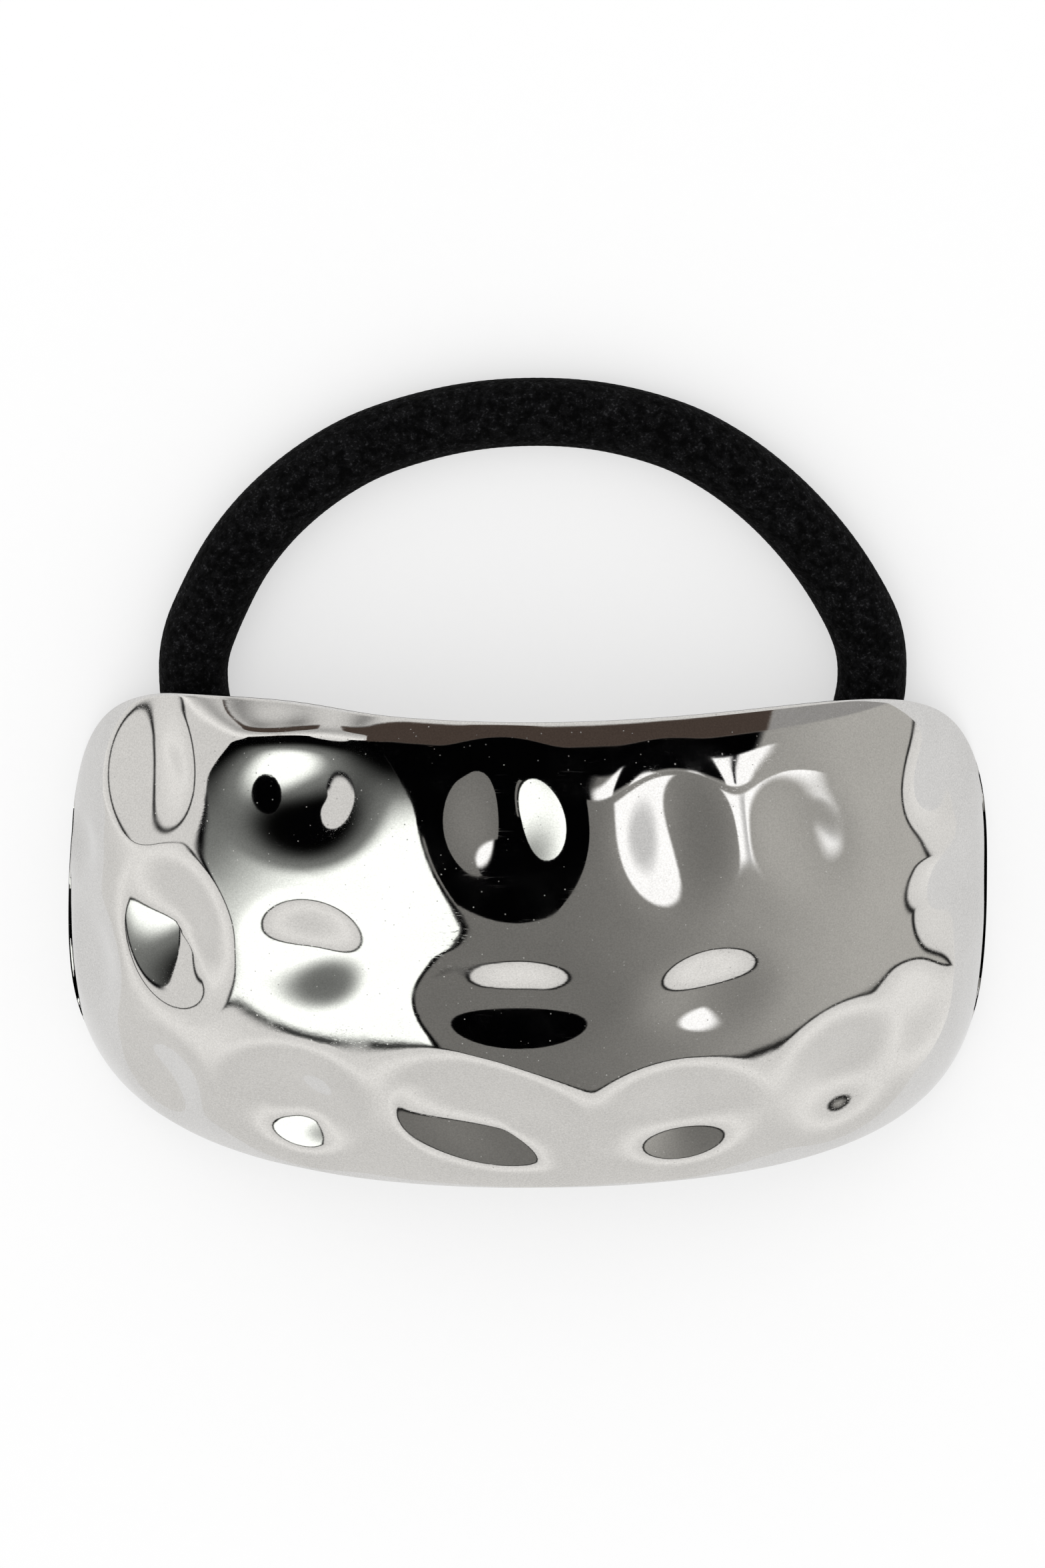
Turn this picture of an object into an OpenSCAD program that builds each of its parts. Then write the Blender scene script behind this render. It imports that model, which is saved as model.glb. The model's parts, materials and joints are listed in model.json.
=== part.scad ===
// Hair tie: a bowed, hammered metal plate that an elastic loop passes behind.
// The plate lies on its back edges, crown up. X runs along its width, +Y goes
// towards the arch of the elastic, and the origin is on the surface it rests on.

/* [Plate] */
// Radius of the bow across the plate's width
bow_radius = 39.5; // [38:0.5:42]
// Angle from the middle of the bow to either end
bow_half_angle = 57; // [56:0.5:58]
// Half of the plate's height, top edge to bottom edge
half_height = 16; // [15.5:0.1:16.5]
// Rise of the crown from the long edges to the middle
crown_rise = 1.5; // [1.2:0.1:1.8]
// Depth that the rim rolls down all round
rim_roll = 2.5; // [2:0.1:2.8]
// How suddenly the rim rolls down
rim_power = 6; // [4:1:8]
// Thickness of the sheet
sheet = 1.2; // [1:0.1:1.4]
// Share of the hammered depth that is used
hammer_share = 1; // [0.2:0.1:1.2]

/* [Outline] */
// Squareness of the top left corner
top_left = 4.4; // [3.6:0.1:5]
// Squareness of the top right corner
top_right = 4; // [3.6:0.1:5]
// Squareness of the bottom left corner
bottom_left = 3.6; // [3.4:0.1:5]
// Squareness of the bottom right corner
bottom_right = 4.2; // [3.6:0.1:5]
// Lift of the top edge at its left end
flare_left = 1.4; // [0:0.1:1.6]
// Lift of the top edge at its right end
flare_right = 1.0; // [0:0.1:1.6]
// Slant of the left end, out at the bottom
lean = 1.2; // [0:0.1:1.6]

/* [Elastic] */
// Thickness of the covered elastic
elastic_d = 4.6; // [4.2:0.1:4.7]
// Thickness of the elastic at the top of its arch
arch_d = 4.3; // [4:0.1:4.6]

/* [Bails and ferrule] */
// Distance of each bail from the middle of the plate
bail_x = 11; // [9:0.5:12]
// Thickness of the bail wire
bail_wire = 1.6; // [1.4:0.1:1.8]
// Length of the ferrule that joins the elastic's ends
ferrule_length = 9; // [8:0.5:10]
// Outer diameter of the ferrule
ferrule_d = 6; // [5.8:0.1:6.4]

/* [Hidden] */

// Cells of the plate's grid along the bow and across it
CELLS_ALONG = 66;
CELLS_ACROSS = 38;

// Hammer marks, each an oval hollow that fades out towards its edge:
// [along the bow, across it, half length, half width, turn in degrees, depth, fade]
MARKS = [
    [-28.7,  10.8,  6.0, 5.2, 142, 1.00, 2],
    [-15.8,  11.0,  7.2, 5.5,   0, 1.44, 3],
    [-17.8,  16.4,  9.6, 3.2,   0, 1.00, 3],
    [ -1.4,   9.9,  7.0, 6.0, 112, 1.15, 3],
    [  9.8,   8.9,  7.2, 5.5,  95, 0.76, 3],
    [ 19.2,   8.2,  7.2, 5.2, 125, 0.50, 3],
    [ 32.4,   8.9,  5.4, 7.4,  95, 0.80, 3],
    [-36.0,   4.0,  3.8, 3.4,   0, 0.50, 3],
    [-34.0,  -3.4,  5.4, 4.5,  90, 0.70, 3],
    [-25.5,   0.4,  7.0, 6.2, 115, 1.50, 3],
    [-14.6,   0.5,  6.0, 4.9,   0, 0.84, 3],
    [ -0.6,  -1.9,  8.6, 4.3,   0, 0.62, 3],
    [ 12.2,  -1.9,  6.4, 4.2,   8, 0.55, 3],
    [ 32.5,   1.2,  6.2, 8.0,  90, 0.70, 3],
    [ 29.0,  -5.8,  5.8, 5.0,  20, 0.35, 3],
    [-27.5, -10.6,  5.6, 4.8,   0, 0.90, 3],
    [-16.4, -10.9,  7.6, 5.8,   0, 2.05, 3],
    [ -1.9, -11.0, 10.5, 5.3, 162, 1.75, 3],
    [ 10.6, -11.2,  7.8, 5.4,   0, 1.80, 3],
    [ 22.8,  -9.8,  6.9, 6.5,  10, 1.44, 3]];

// Inset of the back's outline, as a share of the sheet's thickness
BACK_INSET = 0.75;
// The ends are ground level over this share of the height, to stand on
LEVEL_SHARE = 0.5;

// The elastic's run from the ferrule's mouth out to its right-hand side, up to
// the top of the arch and back on the left: [x, y, z] of its middle
LOOP_Y = 1.5;
LOOP_Z = 6.5;
REST_Z = 2.35;
ROUTE_RIGHT = [
    [ 8.0, LOOP_Y, LOOP_Z], [11.5, LOOP_Y, LOOP_Z], [14.8, 1.7, 6.4],
    [18.0,  2.8, 5.6], [20.6,  4.9, 4.2], [22.2,  8.0, 2.9],
    [22.3, 11.6, REST_Z], [22.9, 15.2, REST_Z], [22.6, 18.4, REST_Z],
    [21.1, 21.6, REST_Z], [18.9, 24.8, REST_Z], [16.1, 27.8, REST_Z],
    [12.9, 30.3, REST_Z], [ 9.4, 32.1, REST_Z], [ 4.8, 33.3, REST_Z]];
ARCH_TOP = [0, 33.6, REST_Z];
ROUTE_LEFT = [
    [-4.8, 33.1, REST_Z], [-9.7, 31.7, REST_Z], [-13.3, 29.8, REST_Z],
    [-16.5, 27.2, REST_Z], [-19.0, 24.2, REST_Z], [-20.8, 20.9, REST_Z],
    [-22.0, 17.8, REST_Z], [-22.2, 15.0, REST_Z], [-21.7, 11.6, REST_Z],
    [-21.4,  7.8, 2.9], [-20.2,  4.9, 4.2], [-17.7,  2.8, 5.6],
    [-14.8, 1.7, 6.4], [-11.5, LOOP_Y, LOOP_Z], [-8.0, LOOP_Y, LOOP_Z]];
SOCKET = 2.5;
MOUTH_X = ferrule_length/2;
ROUTE = concat(
    [[MOUTH_X - SOCKET, LOOP_Y, LOOP_Z], [MOUTH_X, LOOP_Y, LOOP_Z]],
    ROUTE_RIGHT, [ARCH_TOP], ROUTE_LEFT,
    [[-MOUTH_X, LOOP_Y, LOOP_Z], [SOCKET - MOUTH_X, LOOP_Y, LOOP_Z]]);
ELASTIC_SIDES = 10;
RINGS_PER_STEP = 2;

// Room between the elastic and a bail's wire, and round its end in the ferrule
BAIL_GAP = 0.25;
SOCKET_GAP = 0.15;
BAIL_SIDES = 24;
FERRULE_SIDES = 48;
// The crimp near each mouth of the ferrule: from, to, its ramps and its depth
CRIMP_FROM = 1.2;
CRIMP_TO = 2.6;
CRIMP_RAMP = 0.4;
CRIMP_DEPTH = 0.25;

// Depth of all the hammer marks at a point of the unrolled sheet
function mark_depth(s, t) = hammer_share * sum_of([for (m = MARKS) let (
    dx = s - m[0], dy = t - m[1],
    p = (dx*cos(m[4]) + dy*sin(m[4])) / m[2],
    q = (dy*cos(m[4]) - dx*sin(m[4])) / m[3],
    r2 = p*p + q*q) r2 < 1 ? m[5] * pow(1 - r2, m[6]) : 0]);
function sum_of(list) = list * [for (v = list) 1];

// How far out a point is, 1 at the outline, with each corner's own squareness
function corner_power(u, v) = v > 0 ? (u < 0 ? top_left : top_right)
    : (u < 0 ? bottom_left : bottom_right);
function reach(u, v) = let (n = corner_power(u, v)) pow(pow(abs(u), n) + pow(abs(v), n), 1/n);

// A square's point, pulled in to the plate's rounded outline
function in_outline(u, v) = let (far = reach(u, v)) far < 0.001 ? [0, 0] : [u, v]*max(abs(u), abs(v))/far;

// A point of the sheet: side 0 is the polished face, side 1 the back
bow_length = bow_radius * bow_half_angle * PI / 180;
function raw_point(w, side) = let (
    flare = (w[0] < 0 ? flare_left : flare_right) * pow(w[0]*max(0, w[1]), 2),
    slant = w[0] < 0 ? lean*w[1]*w[0]*w[0] : 0,
    inset = 1 - side*BACK_INSET*sheet/half_height,
    s = (w[0]*bow_length + slant) * (1 - side*BACK_INSET*sheet/bow_length),
    t = (w[1]*half_height + flare) * inset,
    fall = crown_rise*w[1]*w[1] + rim_roll*pow(reach(w[0], w[1]), rim_power) + mark_depth(s, t),
    r = bow_radius - fall - side*sheet,
    angle = s / bow_radius * 180 / PI)
    [r*sin(angle), t, r*cos(angle)];

// The sheet is set over the origin, on the ground
SPAN = [-1:0.05:1];
edge_x = [for (v = SPAN, u = [-1, 1]) raw_point(in_outline(u, v), 0)[0]];
edge_y = [for (u = SPAN, v = [-1, 1]) raw_point(in_outline(u, v), 0)[1]];
foot_z = max([for (u = [-1, 1], v = [-LEVEL_SHARE, LEVEL_SHARE]) raw_point(in_outline(u, v), 0)[2]]);
middle = [(min(edge_x) + max(edge_x))/2, (min(edge_y) + max(edge_y))/2];
function sheet_point(u, v, side) = let (p = raw_point(in_outline(u, v), side))
    [p[0] - middle[0], p[1] - middle[1], max(0, p[2] - foot_z)];

// Height of the sheet's middle layer over a point of the plan
function sheet_height(x, y) = let (
    t = y + middle[1],
    angle = asin((x + middle[0]) / (bow_radius - crown_rise)),
    s = angle * bow_radius * PI / 180)
    (bow_radius - sheet/2 - crown_rise*pow(t/half_height, 2) - mark_depth(s, t)) * cos(angle) - foot_z;

module sheet_shell() {
    across = CELLS_ACROSS + 1;
    layer = (CELLS_ALONG + 1) * across;
    points = [for (side = [0, 1], i = [0:CELLS_ALONG], j = [0:CELLS_ACROSS])
        sheet_point(2*i/CELLS_ALONG - 1, 2*j/CELLS_ACROSS - 1, side)];
    function at(side, i, j) = side*layer + i*across + j;
    face = [for (i = [0:CELLS_ALONG - 1], j = [0:CELLS_ACROSS - 1], k = [0, 1]) let (
        a = at(0, i, j), b = at(0, i + 1, j), c = at(0, i + 1, j + 1), d = at(0, i, j + 1))
        k == 0 ? [a, d, b] : [b, d, c]];
    back = [for (f = face) [f[0] + layer, f[2] + layer, f[1] + layer]];
    border = concat(
        [for (i = [0:CELLS_ALONG - 1]) at(0, i, 0)],
        [for (j = [0:CELLS_ACROSS - 1]) at(0, CELLS_ALONG, j)],
        [for (i = [CELLS_ALONG:-1:1]) at(0, i, CELLS_ACROSS)],
        [for (j = [CELLS_ACROSS:-1:1]) at(0, 0, j)]);
    rim = [for (k = [0:len(border) - 1], n = [0, 1]) let (
        a = border[k], b = border[(k + 1) % len(border)])
        n == 0 ? [a, b, a + layer] : [b, b + layer, a + layer]];
    polyhedron(points, concat(face, back, rim));
}

// A staple of wire, its two legs soldered into the sheet
module bail(x) {
    leg_y = elastic_d/2 + BAIL_GAP + bail_wire/2;
    bar_z = LOOP_Z - leg_y;
    translate([x, LOOP_Y, 0]) {
        for (side = [-1, 1]) {
            top = sheet_height(x, LOOP_Y + side*leg_y);
            translate([0, side*leg_y, bar_z]) cylinder(h = top - bar_z, d = bail_wire, $fn = BAIL_SIDES);
            translate([0, side*leg_y, bar_z]) sphere(d = bail_wire, $fn = BAIL_SIDES);
        }
        translate([0, -leg_y, bar_z]) rotate([-90, 0, 0])
            cylinder(h = 2*leg_y, d = bail_wire, $fn = BAIL_SIDES);
    }
}

module plate() {
    color("gainsboro") union() {
        sheet_shell();
        bail(bail_x);
        bail(-bail_x);
    }
}

// The route as one smooth curve through its points
function smooth(a, b, c, d, k) = 0.5 * (2*b + (c - a)*k + (2*a - 5*b + 4*c - d)*k*k
    + (3*b - a - 3*c + d)*k*k*k);
last = len(ROUTE) - 1;
CURVE = concat([for (i = [0:last - 1], k = [0:RINGS_PER_STEP - 1])
    smooth(ROUTE[max(i - 1, 0)], ROUTE[i], ROUTE[i + 1], ROUTE[min(i + 2, last)], k/RINGS_PER_STEP)],
    [ROUTE[last]]);
curve_last = len(CURVE) - 1;

module elastic() {
    function unit(v) = v / norm(v);
    points = [for (i = [0:curve_last], k = [0:ELASTIC_SIDES - 1]) let (
        ahead = i == 0 || i == curve_last ? [1, 0, 0] : unit(CURVE[i + 1] - CURVE[i - 1]),
        out = unit(cross(ahead, [0, 0, 1])),
        up = cross(out, ahead),
        high = max(0, min(1, (CURVE[i][1] - half_height) / (ARCH_TOP[1] - half_height))),
        r = (elastic_d + (arch_d - elastic_d)*high) / 2,
        angle = (k + 0.5) * 360 / ELASTIC_SIDES)
        CURVE[i] + r*(cos(angle)*out + sin(angle)*up)];
    sides = [for (i = [0:curve_last - 1], k = [0:ELASTIC_SIDES - 1]) let (
        n = (k + 1) % ELASTIC_SIDES, a = i*ELASTIC_SIDES, b = a + ELASTIC_SIDES)
        [a + k, b + k, b + n, a + n]];
    start = [[for (k = [0:ELASTIC_SIDES - 1]) k]];
    end = [[for (k = [ELASTIC_SIDES - 1:-1:0]) curve_last*ELASTIC_SIDES + k]];
    color([0.05, 0.05, 0.05]) polyhedron(points, concat(sides, start, end));
}

// A crimped sleeve with a socket for the elastic at each end
module ferrule() {
    socket_r = elastic_d/2 + SOCKET_GAP;
    outer_r = ferrule_d/2;
    crimp_r = outer_r - CRIMP_DEPTH;
    floor_x = MOUTH_X - SOCKET;
    half = [
        [socket_r, floor_x], [socket_r, MOUTH_X], [outer_r, MOUTH_X],
        [outer_r, MOUTH_X - CRIMP_FROM], [crimp_r, MOUTH_X - CRIMP_FROM - CRIMP_RAMP],
        [crimp_r, MOUTH_X - CRIMP_TO + CRIMP_RAMP], [outer_r, MOUTH_X - CRIMP_TO]];
    other_half = [for (i = [len(half) - 1:-1:0]) [half[i][0], -half[i][1]]];
    color("silver") translate([0, LOOP_Y, LOOP_Z]) rotate([0, 90, 0])
        rotate_extrude($fn = FERRULE_SIDES)
            polygon(concat([[0, floor_x]], half, other_half, [[0, -floor_x]]));
}

plate();
elastic();
ferrule();
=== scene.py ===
"""A hair tie: a bowed, hammered and polished metal plate on a loop of black covered elastic.

The plate lies on its back edges, crown up, and the elastic lies on the same surface. X runs along
the plate, +Y towards the arch of the elastic, and everything is in metres.
"""
import json
import math

import bpy
import numpy as np
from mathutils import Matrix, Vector


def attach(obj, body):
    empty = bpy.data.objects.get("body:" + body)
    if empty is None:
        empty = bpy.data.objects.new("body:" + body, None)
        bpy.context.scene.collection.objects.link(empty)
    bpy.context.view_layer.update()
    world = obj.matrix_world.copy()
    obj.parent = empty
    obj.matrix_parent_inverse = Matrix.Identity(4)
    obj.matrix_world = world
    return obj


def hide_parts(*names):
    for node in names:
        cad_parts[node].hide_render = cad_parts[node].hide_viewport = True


bl_info = {
    "name": "Hammered hair tie",
    "version": (1, 0, 0),
    "blender": (4, 5, 0),
    "location": "3D View > Sidebar > Hair tie",
    "description": "Models a hammered metal plate on a loop of covered elastic, and a plain studio for it",
    "category": "Add Mesh",
}

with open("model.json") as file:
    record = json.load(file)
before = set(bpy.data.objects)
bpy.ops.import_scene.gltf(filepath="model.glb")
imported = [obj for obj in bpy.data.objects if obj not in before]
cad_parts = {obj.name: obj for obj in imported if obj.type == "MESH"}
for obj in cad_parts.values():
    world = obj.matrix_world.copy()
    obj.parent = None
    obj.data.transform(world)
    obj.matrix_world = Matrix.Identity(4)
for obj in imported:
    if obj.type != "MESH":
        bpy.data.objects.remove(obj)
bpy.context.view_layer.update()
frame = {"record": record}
MM = 0.001

# Colours that the part's record gives each finish
FINISH = {entry["slot"]: entry["base_color"] for entry in frame["record"]["materials"]}

# Hammer marks in mm on the unrolled sheet, each an oval hollow that fades out towards its edge:
# (along the bow, across it, half length, half width, turn in degrees, depth, fade)
MARKS = (
    (-28.7, 10.8, 6.0, 5.2, 142, 1.00, 2),
    (-15.8, 11.0, 7.2, 5.5, 0, 1.44, 3),
    (-17.8, 16.4, 9.6, 3.2, 0, 1.00, 3),
    (-1.4, 9.9, 7.0, 6.0, 112, 1.15, 3),
    (9.8, 8.9, 7.2, 5.5, 95, 0.76, 3),
    (19.2, 8.2, 7.2, 5.2, 125, 0.50, 3),
    (32.4, 8.9, 5.4, 7.4, 95, 0.80, 3),
    (-36.0, 4.0, 3.8, 3.4, 0, 0.50, 3),
    (-34.0, -3.4, 5.4, 4.5, 90, 0.70, 3),
    (-25.5, 0.4, 7.0, 6.2, 115, 1.50, 3),
    (-14.6, 0.5, 6.0, 4.9, 0, 0.84, 3),
    (-0.6, -1.9, 8.6, 4.3, 0, 0.62, 3),
    (12.2, -1.9, 6.4, 4.2, 8, 0.55, 3),
    (32.5, 1.2, 6.2, 8.0, 90, 0.70, 3),
    (29.0, -5.8, 5.8, 5.0, 20, 0.35, 3),
    (-27.5, -10.6, 5.6, 4.8, 0, 0.90, 3),
    (-16.4, -10.9, 7.6, 5.8, 0, 2.05, 3),
    (-1.9, -11.0, 10.5, 5.3, 162, 1.75, 3),
    (10.6, -11.2, 7.8, 5.4, 0, 1.80, 3),
    (22.8, -9.8, 6.9, 6.5, 10, 1.44, 3),
)
# The ends are ground level over this share of the plate's height
LEVEL_SHARE = 0.5

# Middle of the elastic in mm, from inside the ferrule's right mouth, round the arch, to its left
LOOP_Y = 1.5
LOOP_Z = 6.5
REST_Z = 2.35
ROUTE = (
    (2.0, LOOP_Y, LOOP_Z), (4.5, LOOP_Y, LOOP_Z),
    (8.0, LOOP_Y, LOOP_Z), (11.5, LOOP_Y, LOOP_Z), (14.8, 1.7, 6.4),
    (18.0, 2.8, 5.6), (20.6, 4.9, 4.2), (22.2, 8.0, 2.9),
    (22.3, 11.6, REST_Z), (22.9, 15.2, REST_Z), (22.6, 18.4, REST_Z),
    (21.1, 21.6, REST_Z), (18.9, 24.8, REST_Z), (16.1, 27.8, REST_Z),
    (12.9, 30.3, REST_Z), (9.4, 32.1, REST_Z), (4.8, 33.3, REST_Z),
    (0.0, 33.6, REST_Z),
    (-4.8, 33.1, REST_Z), (-9.7, 31.7, REST_Z), (-13.3, 29.8, REST_Z),
    (-16.5, 27.2, REST_Z), (-19.0, 24.2, REST_Z), (-20.8, 20.9, REST_Z),
    (-22.0, 17.8, REST_Z), (-22.2, 15.0, REST_Z), (-21.7, 11.6, REST_Z),
    (-21.4, 7.8, 2.9), (-20.2, 4.9, 4.2), (-17.7, 2.8, 5.6),
    (-14.8, 1.7, 6.4), (-11.5, LOOP_Y, LOOP_Z), (-8.0, LOOP_Y, LOOP_Z),
    (-4.5, LOOP_Y, LOOP_Z), (-2.0, LOOP_Y, LOOP_Z),
)
STEPS_PER_POINT = 24

# Knit of the elastic: faces round it for each column of stitches, how much of the relief lies
# between columns and between stitches, and the run over which it widens past the plate
FACES_PER_WALE = 4
COLUMN_SHARE = 0.7
STITCH_SHARE = 0.15
SPREAD_RUN = 3 * MM
KNIT_SHARP_ANGLE = math.radians(60)

# Sides of a bail's wire, the radius of its bends, the steps of one bend, and the distance under
# which its points are welded
WIRE_SIDES = 24
BAIL_BEND = 1.2 * MM
BEND_STEPS = 8
WELD = 0.001 * MM
# The cone of solder in which each leg ends: its tip and base as shares of the wire's radius, its
# length, how far its middle lies below the leg's end, and the rounding of its edges
SOLDER_SIDES = 32
SOLDER_TIP = 1.02
SOLDER_BASE = 2.1
SOLDER_LENGTH = 1.3 * MM
SOLDER_DROP = 0.7 * MM
SOLDER_ROUND = 0.3 * MM

# Rings near each mouth of the ferrule: (mm in from the mouth, share of the crimp's depth)
CRIMP_RINGS = ((0.9, 0), (1.3, 0.5), (1.6, 1), (1.9, 1), (2.2, 0.5), (2.6, 0))
FERRULE_SIDES = 64
FERRULE_ROUND = 0.15 * MM

# Edges that are rounded by a bevel, and edges that stay sharp when a piece is shaded smooth
BEVEL_ANGLE = math.radians(50)
SHARP_ANGLE = math.radians(40)

# Colours of the studio's zones, as the metal shows them on a screen
DISPLAY_GAMMA = 2.2
ROOM_TINT = (1.0, 0.99, 0.965)
BOX_TINT = (0.985, 1.0, 0.98)
WALL_TINT = (1.0, 0.995, 0.985)
BLACK_CARD = (0.02, 0.02, 0.024, 1)
DARK_CARD = (0.03, 0.03, 0.034, 1)
WALL_GAP = (0.05, 0.05, 0.054, 1)
SWEEP_EDGE = (0.08, 0.08, 0.08, 1)
BROWN_SHELF = (0.27, 0.235, 0.215, 1)
GREY_SHELF = (0.55, 0.545, 0.54, 1)
BACKDROP = (0.98, 0.98, 0.98, 1)
# The shelf lies between these degrees from straight up, and its brown part ends on the right here
SHELF_LOW = 59
SHELF_HIGH = 77
SHELF_RIGHT = 49
# Nearest distance that the camera shows
CAMERA_CLIP = 0.05


class PlateSettings(bpy.types.PropertyGroup):
    """Sizes of the hammered plate and its bails, and the look of its metal."""

    bow_radius: bpy.props.FloatProperty(
        name="Bow radius", description="Radius of the bow across the plate's width",
        default=39.5 * MM, unit="LENGTH")
    bow_half_angle: bpy.props.FloatProperty(
        name="Bow half angle", description="Angle from the middle of the bow to either end",
        default=math.radians(57), subtype="ANGLE")
    half_height: bpy.props.FloatProperty(
        name="Half height", description="Half of the plate's height",
        default=16 * MM, unit="LENGTH")
    crown_rise: bpy.props.FloatProperty(
        name="Crown rise", description="Rise of the crown from the long edges to the middle",
        default=1.5 * MM, unit="LENGTH")
    rim_roll: bpy.props.FloatProperty(
        name="Rim roll", description="Depth that the rim rolls down all round",
        default=2.5 * MM, unit="LENGTH")
    rim_power: bpy.props.FloatProperty(
        name="Rim power", description="How suddenly the rim rolls down", default=6)
    top_left: bpy.props.FloatProperty(
        name="Top left", description="Squareness of the top left corner", default=4.4)
    top_right: bpy.props.FloatProperty(
        name="Top right", description="Squareness of the top right corner", default=4)
    bottom_left: bpy.props.FloatProperty(
        name="Bottom left", description="Squareness of the bottom left corner", default=3.6)
    bottom_right: bpy.props.FloatProperty(
        name="Bottom right", description="Squareness of the bottom right corner", default=4.2)
    flare_left: bpy.props.FloatProperty(
        name="Left flare", description="Lift of the top edge at its left end",
        default=1.4 * MM, unit="LENGTH")
    flare_right: bpy.props.FloatProperty(
        name="Right flare", description="Lift of the top edge at its right end",
        default=1.0 * MM, unit="LENGTH")
    lean: bpy.props.FloatProperty(
        name="Lean", description="Slant of the left end, out at the bottom",
        default=1.2 * MM, unit="LENGTH")
    sheet: bpy.props.FloatProperty(
        name="Sheet", description="Thickness of the sheet", default=1.2 * MM, unit="LENGTH")
    edge_round: bpy.props.FloatProperty(
        name="Edge round", description="Rounding of the sheet's edges",
        default=0.34 * MM, unit="LENGTH")
    cells_along: bpy.props.IntProperty(
        name="Cells along", description="Cells of the sheet along its width", default=284)
    cells_across: bpy.props.IntProperty(
        name="Cells across", description="Cells of the sheet across its width", default=146)
    bail_x: bpy.props.FloatProperty(
        name="Bail place", description="Distance of each bail from the middle of the plate",
        default=11 * MM, unit="LENGTH")
    bail_wire: bpy.props.FloatProperty(
        name="Bail wire", description="Thickness of the bail wire", default=1.6 * MM, unit="LENGTH")
    bail_gap: bpy.props.FloatProperty(
        name="Bail gap", description="Room between the elastic and a bail's wire",
        default=0.25 * MM, unit="LENGTH")
    metal: bpy.props.FloatVectorProperty(
        name="Metal", description="Colour of the polished metal", subtype="COLOR", size=3,
        default=(0.620, 0.612, 0.600))


class ElasticSettings(bpy.types.PropertyGroup):
    """Sizes of the covered elastic and its knit, and its colour."""

    thickness: bpy.props.FloatProperty(
        name="Thickness", description="Thickness of the elastic", default=4.6 * MM, unit="LENGTH")
    arch_thickness: bpy.props.FloatProperty(
        name="Arch thickness", description="Thickness of the elastic at the top of its arch",
        default=4.3 * MM, unit="LENGTH")
    spread: bpy.props.FloatProperty(
        name="Spread", description="Widening of the elastic where it lies flat, as a share", default=0.05)
    ring_gap: bpy.props.FloatProperty(
        name="Ring gap", description="Distance between the rings of the mesh",
        default=0.13 * MM, unit="LENGTH")
    wales: bpy.props.IntProperty(
        name="Wales", description="Columns of stitches round the elastic", default=22)
    stitch: bpy.props.FloatProperty(
        name="Stitch", description="Length of a stitch", default=0.55 * MM, unit="LENGTH")
    relief: bpy.props.FloatProperty(
        name="Relief", description="Depth of the furrows between stitches",
        default=0.03 * MM, unit="LENGTH")
    colour: bpy.props.FloatVectorProperty(
        name="Yarn", description="Colour of the yarn", subtype="COLOR", size=3,
        default=(0.0045, 0.0045, 0.0048))


class FerruleSettings(bpy.types.PropertyGroup):
    """Sizes of the crimped sleeve that joins the elastic's ends."""

    length: bpy.props.FloatProperty(
        name="Length", description="Length of the ferrule", default=9 * MM, unit="LENGTH")
    diameter: bpy.props.FloatProperty(
        name="Diameter", description="Outer diameter of the ferrule", default=6 * MM, unit="LENGTH")
    socket: bpy.props.FloatProperty(
        name="Socket", description="Depth of the socket for each end of the elastic",
        default=2.5 * MM, unit="LENGTH")
    socket_gap: bpy.props.FloatProperty(
        name="Socket gap", description="Room round the elastic in its socket",
        default=0.15 * MM, unit="LENGTH")
    crimp_depth: bpy.props.FloatProperty(
        name="Crimp depth", description="Depth of the crimp near each mouth",
        default=0.25 * MM, unit="LENGTH")
    colour: bpy.props.FloatVectorProperty(
        name="Metal", description="Colour of the ferrule's metal", subtype="COLOR", size=3,
        default=FINISH["crimp_metal"])


class StudioSettings(bpy.types.PropertyGroup):
    """The camera, the floor and the light."""

    target: bpy.props.FloatVectorProperty(
        name="Target", description="Point that the camera looks at", size=3, subtype="TRANSLATION",
        default=(-0.33 * MM, 6.9 * MM, -1.98 * MM))
    distance: bpy.props.FloatProperty(
        name="Distance", description="Distance of the camera from its target",
        default=450 * MM, unit="LENGTH")
    tilt: bpy.props.FloatProperty(
        name="Tilt", description="Tilt of the camera from straight down, towards the arch",
        default=math.radians(16), subtype="ANGLE")
    lens: bpy.props.FloatProperty(
        name="Lens", description="Focal length, in millimetres", default=153.06)
    floor_middle: bpy.props.FloatVectorProperty(
        name="Floor middle", description="Middle of the card that the piece rests on", size=3,
        subtype="TRANSLATION", default=(0, 7 * MM, -0.01 * MM))
    floor_width: bpy.props.FloatProperty(
        name="Floor width", description="Width of the card", default=80 * MM, unit="LENGTH")
    floor_length: bpy.props.FloatProperty(
        name="Floor length", description="Length of the card", default=120 * MM, unit="LENGTH")
    floor: bpy.props.FloatVectorProperty(
        name="Floor", description="Colour of the floor", subtype="COLOR", size=3,
        default=(0.46, 0.46, 0.46))
    # The card's own painted glow, which lightens the shadows on it; no lamp lies below the card.
    painted_floor_glow: bpy.props.FloatProperty(
        name="Floor glow", description="Light from below through the card, which softens the shadows",
        default=0.50)
    plain_light: bpy.props.FloatProperty(
        name="Plain light", description="Strength of the light that comes from all round", default=0.95)
    lamp_power: bpy.props.FloatProperty(
        name="Lamp", description="Power of the soft lamp overhead", default=1.8, subtype="POWER")
    lamp_place: bpy.props.FloatVectorProperty(
        name="Lamp place", description="Where the lamp hangs, pointing at the piece", size=3,
        subtype="TRANSLATION", default=(-0.25, 0.35, 0.9))
    lamp_size: bpy.props.FloatProperty(
        name="Lamp size", description="Width of the lamp", default=0.8, unit="LENGTH")


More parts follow.
